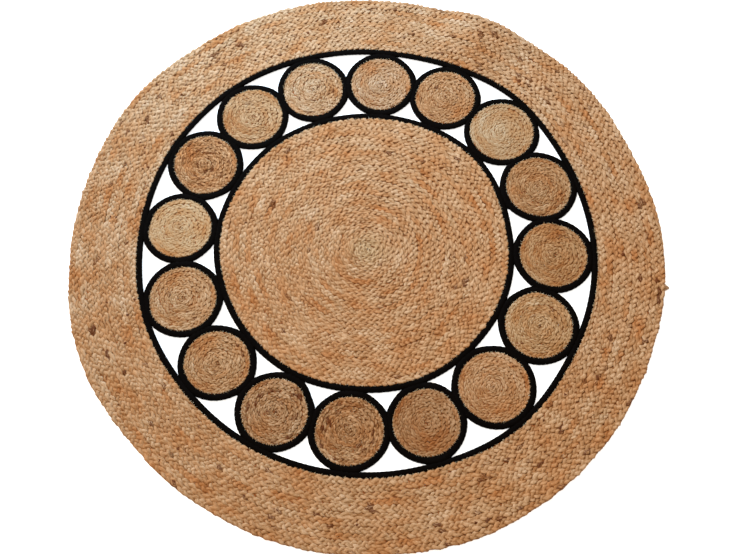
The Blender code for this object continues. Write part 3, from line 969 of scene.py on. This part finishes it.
LASHING_LENGTH = 46.0 * MM
LASHING_WIDTHS = (4.0 * MM, 7.5 * MM)  # at its middle and near its ends
LASHING_HEIGHT = 6.2 * MM
LASHING_TURNS = 8  # of thread
LASHING_RINGS = 33
LASHING_CORNERS = 6
LASHING_BLUNTNESS = 6  # power of the curve that rounds off its ends
LASHING_TIP = 0.02  # of its thickness squared, left at its ends
THREAD_DEPTH = 0.12  # of the grooves between the turns, as a share of its thickness


def ahead_of(x, y, heading, ahead, aside):
    """x and y of places ahead of others and to the left of them, by a heading in radians."""
    cosine, sine = np.cos(heading), np.sin(heading)
    return x + ahead * cosine - aside * sine, y + ahead * sine + aside * cosine


def lashings(x, y, heading):
    """Lashings (lashing, ring, corner, xyz) along level headings through their middles: an
    ellipse in section, wider towards its ends, rounded off at them, and grooved by its turns
    of thread."""
    along = np.linspace(-1, 1, LASHING_RINGS)[:, None]
    corner = round_corners(LASHING_CORNERS)
    rounded = np.sqrt(np.clip(1 - np.abs(along) ** LASHING_BLUNTNESS, LASHING_TIP, 1))
    grooved = 1 - THREAD_DEPTH * np.cos(np.pi * LASHING_TURNS * along) ** 2
    across = between(LASHING_WIDTHS, along**2) / 2 * rounded * grooved * np.cos(corner)
    up = LASHING_HEIGHT / 2 * (1 + rounded * grooved * np.sin(corner)) + FLOOR_CLEARANCE
    x, y, heading = (column[:, None, None] for column in (x, y, heading))
    x, y = ahead_of(x, y, heading, LASHING_LENGTH / 2 * along, across)
    return np.stack([x, y, np.broadcast_to(up, x.shape)], axis=-1)


def meeting(edge, start, azimuth):
    """x and y of a lashing's middle, on an edge as seen from a point, and its heading."""
    x, y = around(start, azimuth, edge(azimuth))
    return x, y, np.radians(azimuth + 90)


def add_lashings():
    """One lashing between each two discs, and one from each disc to the centre and to the
    ring."""
    places = []
    for index, middle in enumerate(disc_middles):
        edge = rims(f"disc_{index + 1:02d}_edging", middle)[1]
        places += [meeting(edge, middle, azimuth) for azimuth in meeting_azimuths(index)[:3]]
    points = lashings(*np.transpose(places))
    piece = tubes("black_lashings", points)
    map_strands(piece, points, np.linspace(0, LASHING_LENGTH, LASHING_RINGS))
    fit(piece, cord_black)


add_lashings()

# ---------------------------------------------------------------------------------------------
# Loose fibres: jute sheds, and fine pale fibres stand off every plait. Most show at the rims,
# where they lie over the black cords.

FIBRE_RINGS = 3
FIBRE_CORNERS = 3
FIBRE_RADIUS = 0.22 * MM  # of a few fibres together: one alone wouldn't show
FIBRE_LENGTHS = (4.0 * MM, 9.0 * MM)
FIBRE_THINNING = 0.6  # share of its radius that a fibre loses to its tip
FIBRE_ARCH = 1.2 * MM
FIBRE_BEND = 0.3  # spread of how far its tip bends aside, as a share of its length
FIBRE_SPREAD = 0.7  # radians from the rows
FIBRE_SQUARE = 22 * MM  # a square of this side holds one
FIBRE_TOP = 1.0  # of `top`, all over them
WISP_RADIUS = 0.5 * MM  # of the wisps of fibre along the rims
WISP_LENGTHS = (2.5 * MM, 5.0 * MM)
WISP_SPACING = 3.5 * MM
WISP_ROOTS = (1.0, 2.5)  # millimetres inside the rim
WISP_JITTER = 2  # degrees
WISP_SPREAD = 0.6  # radians from straight out
THICK_SINK = 1.6 * MM  # how far below the top of a plait its fibres start
FINE_SINK = 1.2 * MM
CENTRE_FIELD = 280 * MM  # how far from its middle the fibres on a coil lie
DISC_FIELD = 50 * MM
RING_FIELD = (470 * MM, 575 * MM)


def loose_fibres(x, y, level, heading, lengths, thickness, rng):
    """Fibres (fibre, ring, corner, xyz) from their places and levels, each along its own
    heading in radians: a parabola that rises by FIBRE_ARCH in its middle, bends aside by the
    square of how far along it is, and thins to its tip."""
    along = np.linspace(0, 1, FIBRE_RINGS)[:, None]
    corner = round_corners(FIBRE_CORNERS)
    x, y, level, heading = (column[:, None, None] for column in (x, y, level, heading))
    length = rng.uniform(*lengths, x.shape)
    radius = thickness * (1 - FIBRE_THINNING * along)
    bend = FIBRE_BEND * length * rng.normal(size=x.shape)
    aside = bend * along**2 + radius * np.cos(corner)
    up = level + FIBRE_ARCH * 4 * along * (1 - along) + radius * np.sin(corner)
    x, y = ahead_of(x, y, heading, length * along, aside)
    return np.stack([x, y, up], axis=-1)


def rim_fibres(middle, rim, level, inwards, rng):
    """Wisps along a rim, which point out over it, or in over it where it is a hole's."""
    count = int(2 * np.pi * rim(0) / WISP_SPACING)
    azimuth = 360 * np.arange(count) / count + rng.uniform(0, WISP_JITTER, count)
    side = -1 if inwards else 1
    distance = rim(azimuth) - side * rng.uniform(*WISP_ROOTS, count) * MM
    x, y = around(middle, azimuth, distance)
    heading = np.radians(azimuth) + np.pi * inwards + rng.normal(0, WISP_SPREAD, count)
    return loose_fibres(x, y, np.full(count, level), heading, WISP_LENGTHS, WISP_RADIUS, rng)


def field_fibres(middle, near, far, level, rng):
    """Fibres scattered evenly from the distance `near` to the distance `far` from a middle,
    most of them nearly along the rows."""
    count = int(np.pi * (far**2 - near**2) / FIBRE_SQUARE**2)
    distance = np.sqrt(rng.uniform(near**2, far**2, count))
    azimuth = rng.uniform(0, 360, count)
    x, y = around(middle, azimuth, distance)
    heading = np.radians(azimuth - 90) + rng.normal(0, FIBRE_SPREAD, count)
    return loose_fibres(x, y, level + buckle(x, y), heading, FIBRE_LENGTHS, FIBRE_RADIUS, rng)


def add_loose(name, points, length, top, rng, material, replaced=None):
    """Loose fibres or locks as one piece, each of one tint and with the same `top` all over."""
    piece = tubes(name, points)
    map_strands(piece, points, np.linspace(0, length, points.shape[1]))
    add_lump_values(piece, np.zeros(points.shape[:2]), points, rng)
    add_values(piece, "top", np.full(points.shape[:3], top))
    fit(piece, material, replaced)


def add_fibres(name, groups):
    """The loose fibres of one kind of plait as one piece."""
    points = np.concatenate(groups)
    add_loose(name, points, FIBRE_LENGTHS[1], FIBRE_TOP, fibre_rng, loose_jute)


fibre_rng = np.random.default_rng(6)
loose_jute = jute("loose_jute_fibre", "#E2C49C", contrast=0.5)
thick_level = PLAIT_HEIGHT - THICK_SINK
fine_level = FINE_PLAIT.height - FINE_SINK
centre_fibres = [
    rim_fibres(rug_middle, centre_rim, fine_level, False, fibre_rng),
    field_fibres(rug_middle, 0, CENTRE_FIELD, thick_level, fibre_rng),
]
add_fibres("centre_fibres", centre_fibres)
ring_fibres = [
    rim_fibres(rug_middle, ring_near, fine_level, True, fibre_rng),
    field_fibres(rug_middle, *RING_FIELD, thick_level, fibre_rng),
]
add_fibres("ring_fibres", ring_fibres)
disc_fibres = []
for number, middle in enumerate(disc_middles, start=1):
    rim = rims(f"disc_{number:02d}_coil", middle)[1]
    disc_fibres.append(rim_fibres(middle, rim, fine_level, False, fibre_rng))
    disc_fibres.append(field_fibres(middle, 0, DISC_FIELD, fine_level, fibre_rng))
add_fibres("disc_fibres", disc_fibres)

# ---------------------------------------------------------------------------------------------
# The end of the ring's plait: at the right-hand rim its last locks of fibre are not sewn in, and
# stand out in a short frayed tuft.

TUFT_AZIMUTH = 353.6
TUFT_LOCKS = 110
TUFT_RINGS = 7
TUFT_CORNERS = 4
TUFT_WIDTH = 18.0 * MM  # across its roots
TUFT_ROOT = 7.0 * MM  # how far its roots lie inside the rim
TUFT_LENGTHS = (14.0 * MM, 18.0 * MM)
TUFT_POINTEDNESS = 0.3  # share of their distance apart at the roots that the tips lose
TUFT_ROUNDNESS = 1.6  # how much shorter its outer locks are
TUFT_CURL = 1.5 * MM  # spread of how far a lock's tip curls aside
TUFT_HEIGHTS = (1.5 * MM, 6.5 * MM)  # of the locks' roots
TUFT_TIP_HEIGHT = 4 * MM
TUFT_GATHER = 0.6  # share of the way to that height that a lock goes
TUFT_TOP = 0.8  # of `top`, all over it
LOCK_RADII = (1.0 * MM, 0.2 * MM)  # at its root and at its tip


def tuft(rng):
    """Locks of fibre (lock, ring, corner, xyz) that run out level and come together at their
    tips: each curls aside by the square of how far along it is, and thins evenly. A lock is
    shorter by the square of how far it lies from the tuft's middle."""
    along = np.linspace(0, 1, TUFT_RINGS)[:, None]
    locks = (TUFT_LOCKS, 1, 1)
    aside = TUFT_WIDTH * rng.uniform(-0.5, 0.5, locks)
    reach = rng.uniform(*TUFT_LENGTHS, locks) * (1 - (TUFT_ROUNDNESS * aside / TUFT_WIDTH) ** 2)
    curl = TUFT_CURL * rng.normal(size=locks)
    up = rng.uniform(*TUFT_HEIGHTS, locks)
    corner = round_corners(TUFT_CORNERS)
    radius = between(LOCK_RADII, along)
    out = ring_far(TUFT_AZIMUTH) - TUFT_ROOT + reach * along
    side = aside * (1 - TUFT_POINTEDNESS * along) + curl * along**2 + radius * np.cos(corner)
    up = between((up, TUFT_TIP_HEIGHT), TUFT_GATHER * along) + radius * np.sin(corner)
    x, y = ahead_of(*rug_middle, np.radians(TUFT_AZIMUTH), out, side)
    return np.stack([x, y, np.maximum(up, FLOOR_CLEARANCE)], axis=-1)


tuft_rng = np.random.default_rng(5)
tuft_points = tuft(tuft_rng)
add_loose(
    "frayed_end", tuft_points, TUFT_LENGTHS[1], TUFT_TOP, tuft_rng,
    ring_jute, "braid_end",
)

# ---------------------------------------------------------------------------------------------
# The floor, the light and the camera: a plain white floor under a soft white studio, lit a
# little more from the upper left, and the camera over the rug's near side.


def light_table(name):
    """Matt white, lit from below as well as from above, so that no shadow shows on it."""
    material, _, shader = new_material(name)
    shader["Base Color"].default_value = (0.9, 0.9, 0.9, 1)
    shader["Roughness"].default_value = 0.95
    shader["Emission Color"].default_value = (1, 1, 1, 1)
    shader["Emission Strength"].default_value = 0.8
    return material


FLOOR_SIDE = 8.0
floor_corner = FLOOR_SIDE / 2 * np.array([(-1, -1, 0), (1, -1, 0), (1, 1, 0), (-1, 1, 0)])
floor_mesh = bpy.data.meshes.new("floor")
floor_mesh.from_pydata(floor_corner.tolist(), [], [(0, 1, 2, 3)])
floor = bpy.data.objects.new("floor", floor_mesh)
floor_mesh.materials.append(light_table("white_floor"))
bpy.context.scene.collection.objects.link(floor)

ROOM_STRENGTH = 0.38
WARM = (1.0, 0.86, 0.66)  # room light, which fills the shadows and comes from high up
COOL = (0.375, 0.68, 1.0)  # daylight from a window near the rug, beyond it on the left
world = bpy.data.worlds.new("studio")
world.use_nodes = True
room_light = world.node_tree.nodes["Background"].inputs
room_light["Color"].default_value = (*WARM, 1)
room_light["Strength"].default_value = ROOM_STRENGTH
bpy.context.scene.world = world
bpy.context.scene.view_settings.view_transform = "Standard"


def facing(back, roll=0.0):
    """The turn of an object whose -Z looks against `back`, with its Y as high as may be and
    then rolled by this many degrees."""
    back = back / np.linalg.norm(back)
    right = np.cross((0, 0, 1), back)
    right /= np.linalg.norm(right)
    up = np.cross(back, right)
    cosine, sine = np.cos(np.radians(roll)), np.sin(np.radians(roll))
    columns = np.array([cosine * right + sine * up, cosine * up - sine * right, back])
    return Matrix(columns.T.tolist()).to_euler()


def add_light(name, kind, energy, colour, direction):
    """A light that shines on the rug from this direction."""
    light = bpy.data.objects.new(name, bpy.data.lights.new(name, kind))
    light.data.energy = energy
    light.data.color = colour
    light.rotation_euler = facing(direction)
    bpy.context.scene.collection.objects.link(light)
    return light


LAMP_DIRECTION = np.array([-0.55, 0.45, 1.0])
lamp = add_light("room_lamp", "SUN", 1.8, WARM, LAMP_DIRECTION)
lamp.data.angle = np.radians(15)

WINDOW_PLACE = np.array([-0.55, 1.15, 0.95])
window = add_light("window", "AREA", 28, COOL, WINDOW_PLACE)
window.data.size = 0.7
window.location = WINDOW_PLACE
window.visible_camera = False

CAMERA_PLACE = (0.0025, -0.798, 2.014)
CAMERA_ELEVATION = 69.71
CAMERA_ROLL = 1.20
CAMERA_LENS = 52.04  # on a sensor 36 mm wide
elevation = np.radians(CAMERA_ELEVATION)
camera_data = bpy.data.cameras.new("camera")
camera_data.lens = CAMERA_LENS
camera_data.sensor_width = 36
camera = bpy.data.objects.new("camera", camera_data)
camera.location = CAMERA_PLACE
camera.rotation_euler = facing(np.array([0, -np.cos(elevation), np.sin(elevation)]), CAMERA_ROLL)
bpy.context.scene.collection.objects.link(camera)
bpy.context.scene.camera = camera
